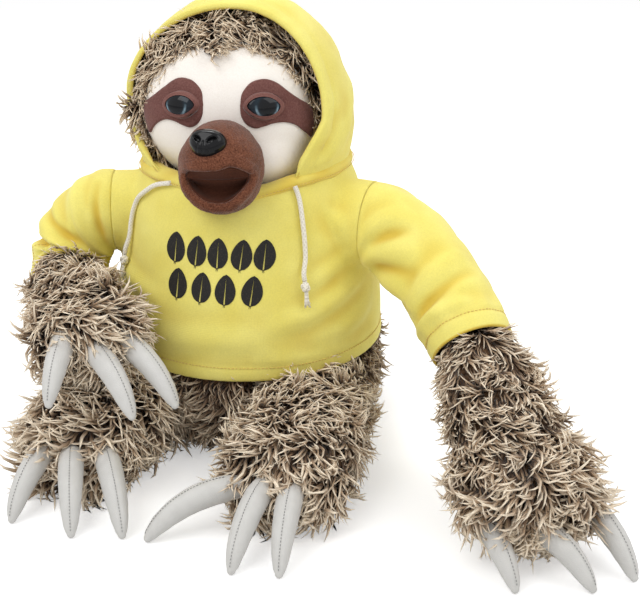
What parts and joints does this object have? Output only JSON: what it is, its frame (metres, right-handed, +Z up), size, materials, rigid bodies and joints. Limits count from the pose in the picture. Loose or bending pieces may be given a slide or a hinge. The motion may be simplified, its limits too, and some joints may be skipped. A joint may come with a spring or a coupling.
{
  "type": "plush sloth",
  "caption": "Seated long-pile plush sloth with stuffed limbs, curved cloth claws, an open mouth and a hooded sweatshirt with drawstrings.",
  "frame": {"origin": "middle of the flat seat, at the level of the surface it sits on", "axes": "+Z up, -Y the way the toy faces, +X the toy's own left"},
  "size_m": [0.4385, 0.334, 0.3125],
  "materials": {
    "torso": "long curly pile, brown at the root and cream at the tip",
    "pellet_bag": "plastic pellets in a cloth bag",
    "torso_stuffing": "white fibre stuffing",
    "hoodie_body": "soft yellow sweatshirt knit",
    "drawstring_left": "off-white braided cord",
    "drawstring_right": "off-white braided cord",
    "knot_left": "off-white braided cord",
    "knot_right": "off-white braided cord",
    "head": "long curly pile, brown at the root and cream at the tip",
    "head_stuffing": "white fibre stuffing",
    "face_panel": "short cream plush",
    "eye_patch_left": "short dark brown plush",
    "eye_patch_right": "short dark brown plush",
    "eye_left": "polished black",
    "eye_right": "polished black",
    "eye_left_washer": "moulded natural plastic",
    "eye_right_washer": "moulded natural plastic",
    "eyelid_left": "short dark brown plush",
    "eyelid_right": "short dark brown plush",
    "muzzle": "short reddish brown plush",
    "palate": "matte very dark brown cloth",
    "nose": "polished black",
    "nose_washer": "moulded natural plastic",
    "hood": "soft yellow sweatshirt knit",
    "lower_jaw": "short reddish brown plush",
    "mouth_floor": "matte very dark brown cloth",
    "upper_arm_left": "long curly pile, brown at the root and cream at the tip",
    "sleeve_left": "soft yellow sweatshirt knit",
    "upper_arm_right": "long curly pile, brown at the root and cream at the tip",
    "sleeve_right": "soft yellow sweatshirt knit",
    "forearm_left": "long curly pile, brown at the root and cream at the tip",
    "left_hand_claw_1": "light grey coated cloth with a stitched seam",
    "left_hand_claw_2": "light grey coated cloth with a stitched seam",
    "left_hand_claw_3": "light grey coated cloth with a stitched seam",
    "forearm_right": "long curly pile, brown at the root and cream at the tip",
    "right_hand_claw_1": "light grey coated cloth with a stitched seam",
    "right_hand_claw_2": "light grey coated cloth with a stitched seam",
    "right_hand_claw_3": "light grey coated cloth with a stitched seam",
    "leg_left": "long curly pile, brown at the root and cream at the tip",
    "left_foot_claw_1": "light grey coated cloth with a stitched seam",
    "left_foot_claw_2": "light grey coated cloth with a stitched seam",
    "left_foot_claw_3": "light grey coated cloth with a stitched seam",
    "leg_right": "long curly pile, brown at the root and cream at the tip",
    "right_foot_claw_1": "light grey coated cloth with a stitched seam",
    "right_foot_claw_2": "light grey coated cloth with a stitched seam",
    "right_foot_claw_3": "light grey coated cloth with a stitched seam"
  },
  "bodies": {
    "torso": {"torso": "torso", "pellet_bag": "pellet_bag", "torso_stuffing": "torso_stuffing", "hoodie_body": "hoodie_body", "drawstring_left": "drawstring_left", "drawstring_right": "drawstring_right", "knot_left": "knot_left", "knot_right": "knot_right"},
    "head": {"head": "head", "head_stuffing": "head_stuffing", "face_panel": "face_panel", "eye_patch_left": "eye_patch_left", "eye_patch_right": "eye_patch_right", "eye_left": "eye_left", "eye_right": "eye_right", "eye_left_washer": "eye_left_washer", "eye_right_washer": "eye_right_washer", "eyelid_left": "eyelid_left", "eyelid_right": "eyelid_right", "muzzle": "muzzle", "palate": "palate", "nose": "nose", "nose_washer": "nose_washer", "hood": "hood"},
    "jaw": {"lower_jaw": "lower_jaw", "mouth_floor": "mouth_floor"},
    "left_upper_arm": {"upper_arm_left": "upper_arm_left", "sleeve_left": "sleeve_left"},
    "right_upper_arm": {"upper_arm_right": "upper_arm_right", "sleeve_right": "sleeve_right"},
    "left_forearm": {"forearm_left": "forearm_left", "left_hand_claw_1": "left_hand_claw_1", "left_hand_claw_2": "left_hand_claw_2", "left_hand_claw_3": "left_hand_claw_3"},
    "right_forearm": {"forearm_right": "forearm_right", "right_hand_claw_1": "right_hand_claw_1", "right_hand_claw_2": "right_hand_claw_2", "right_hand_claw_3": "right_hand_claw_3"},
    "left_leg": {"leg_left": "leg_left", "left_foot_claw_1": "left_foot_claw_1", "left_foot_claw_2": "left_foot_claw_2", "left_foot_claw_3": "left_foot_claw_3"},
    "right_leg": {"leg_right": "leg_right", "right_foot_claw_1": "right_foot_claw_1", "right_foot_claw_2": "right_foot_claw_2", "right_foot_claw_3": "right_foot_claw_3"}
  },
  "joints": [
    {"name": "head_turn", "type": "hinge", "parent": "torso", "child": "head", "pos_m": [0, 0, 0.18], "axis": [0, 0, 1], "range_deg": [-35, 35]},
    {"name": "jaw_close", "type": "hinge", "parent": "head", "child": "jaw", "pos_m": [0.0014, -0.077, 0.2108], "axis": [-1, 0, 0], "range_deg": [0, 25]},
    {"name": "left_shoulder", "type": "hinge", "parent": "torso", "child": "left_upper_arm", "pos_m": [0.09439, -0.02006, 0.158], "axis": [-0.9781, 0.2079, 0], "range_deg": [0, 70]},
    {"name": "left_elbow", "type": "hinge", "parent": "left_upper_arm", "child": "left_forearm", "pos_m": [0.1785, -0.10535, 0.09296], "axis": [-0.866, -0.5, 0], "range_deg": [0, 30]},
    {"name": "right_shoulder", "type": "hinge", "parent": "torso", "child": "right_upper_arm", "pos_m": [-0.09439, -0.02006, 0.158], "axis": [-0.9781, -0.2079, 0], "range_deg": [0, 40]},
    {"name": "right_elbow", "type": "hinge", "parent": "right_upper_arm", "child": "right_forearm", "pos_m": [-0.11948, -0.05826, 0.109], "axis": [-0.9397, -0.342, 0], "range_deg": [0, 30]},
    {"name": "left_hip", "type": "hinge", "parent": "torso", "child": "left_leg", "pos_m": [0.0575, -0.042, 0.0295], "axis": [0, 0, 1], "range_deg": [0, 25]},
    {"name": "right_hip", "type": "hinge", "parent": "torso", "child": "right_leg", "pos_m": [-0.0575, -0.042, 0.0295], "axis": [0, 0, -1], "range_deg": [0, 25]}
  ]
}
